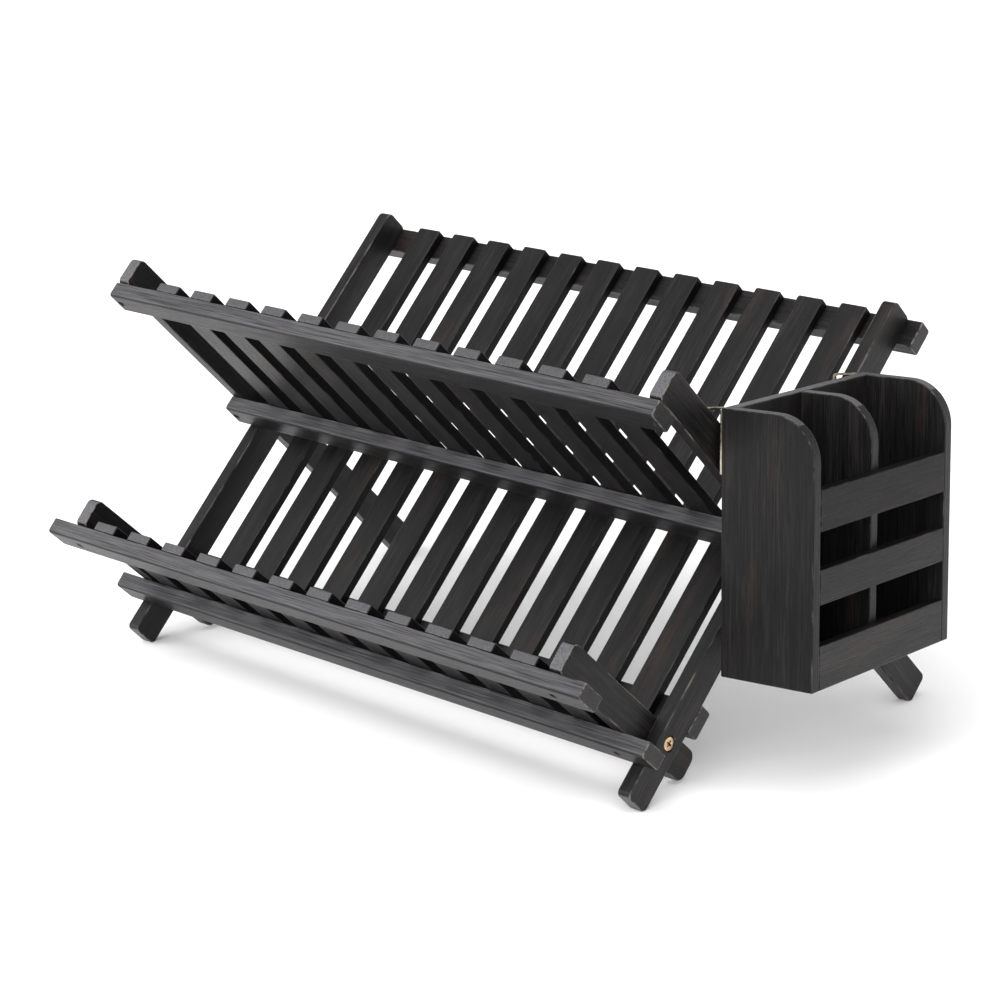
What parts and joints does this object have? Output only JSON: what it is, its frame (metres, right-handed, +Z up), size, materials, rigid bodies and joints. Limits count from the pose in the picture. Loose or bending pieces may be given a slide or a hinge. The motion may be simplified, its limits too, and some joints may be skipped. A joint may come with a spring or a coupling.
{
  "type": "folding dish drying rack",
  "caption": "Folding slatted wooden dish rack that opens into two V-shaped tiers for plates, with a hook-on two-part utensil caddy at one end.",
  "frame": {"origin": "on the ground, in the middle of the bounding box", "axes": "+X along the rack towards the caddy, +Y to the back, +Z up"},
  "size_m": [0.516, 0.3132, 0.247],
  "materials": {
    "stained_bamboo": "satin lacquer over black stain",
    "brass": "satin",
    "steel": "satin",
    "black_screw": "matte black"
  },
  "bodies": {
    "long_frame": {"hinge_screws": "brass", "long_frame_lower_bar": "stained_bamboo", "long_frame_rail_left": "stained_bamboo", "long_frame_rail_right": "stained_bamboo", "long_frame_screws": "black_screw", "long_frame_slat_01": "stained_bamboo", "long_frame_slat_02": "stained_bamboo", "long_frame_slat_03": "stained_bamboo", "long_frame_slat_04": "stained_bamboo", "long_frame_slat_05": "stained_bamboo", "long_frame_slat_06": "stained_bamboo", "long_frame_slat_07": "stained_bamboo", "long_frame_slat_08": "stained_bamboo", "long_frame_slat_09": "stained_bamboo", "long_frame_slat_10": "stained_bamboo", "long_frame_slat_11": "stained_bamboo", "long_frame_slat_12": "stained_bamboo", "long_frame_top_bar": "stained_bamboo"},
    "upper_frame": {"upper_frame_rail_left": "stained_bamboo", "upper_frame_rail_right": "stained_bamboo", "upper_frame_screws": "black_screw", "upper_frame_slat_01": "stained_bamboo", "upper_frame_slat_02": "stained_bamboo", "upper_frame_slat_03": "stained_bamboo", "upper_frame_slat_04": "stained_bamboo", "upper_frame_slat_05": "stained_bamboo", "upper_frame_slat_06": "stained_bamboo", "upper_frame_slat_07": "stained_bamboo", "upper_frame_slat_08": "stained_bamboo", "upper_frame_slat_09": "stained_bamboo", "upper_frame_slat_10": "stained_bamboo", "upper_frame_slat_11": "stained_bamboo", "upper_frame_slat_12": "stained_bamboo", "upper_frame_stop_bar": "stained_bamboo", "upper_frame_top_bar": "stained_bamboo"},
    "lower_frame": {"lower_frame_rail_left": "stained_bamboo", "lower_frame_rail_right": "stained_bamboo", "lower_frame_screws": "black_screw", "lower_frame_slat_01": "stained_bamboo", "lower_frame_slat_02": "stained_bamboo", "lower_frame_slat_03": "stained_bamboo", "lower_frame_slat_04": "stained_bamboo", "lower_frame_slat_05": "stained_bamboo", "lower_frame_slat_06": "stained_bamboo", "lower_frame_slat_07": "stained_bamboo", "lower_frame_slat_08": "stained_bamboo", "lower_frame_slat_09": "stained_bamboo", "lower_frame_slat_10": "stained_bamboo", "lower_frame_slat_11": "stained_bamboo", "lower_frame_slat_12": "stained_bamboo", "lower_frame_stop_bar": "stained_bamboo", "lower_frame_top_bar": "stained_bamboo"},
    "caddy": {"caddy_back_panel": "stained_bamboo", "caddy_divider": "stained_bamboo", "caddy_face_slats": "stained_bamboo", "caddy_floor": "stained_bamboo", "caddy_front_panel": "stained_bamboo", "caddy_hook_screws": "brass", "caddy_hooks": "steel", "caddy_rear_panel": "stained_bamboo"}
  },
  "joints": [
    {"name": "upper_fold", "type": "hinge", "parent": "long_frame", "child": "upper_frame", "pos_m": [-0.03552, 0.02602, 0.13043], "axis": [-1, 0, 0], "range_deg": [0, 89]},
    {"name": "lower_fold", "type": "hinge", "parent": "long_frame", "child": "lower_frame", "pos_m": [-0.03552, -0.07121, 0.0332], "axis": [-1, 0, 0], "range_deg": [0, 91]},
    {"name": "caddy_lift", "type": "slide", "parent": "long_frame", "child": "caddy", "axis": [0, 0, 1], "range_m": [0, 0.48]}
  ],
  "couplings": [
    {"joint": "caddy_lift", "follows": "upper_fold", "m_per_rad": 0.3}
  ]
}
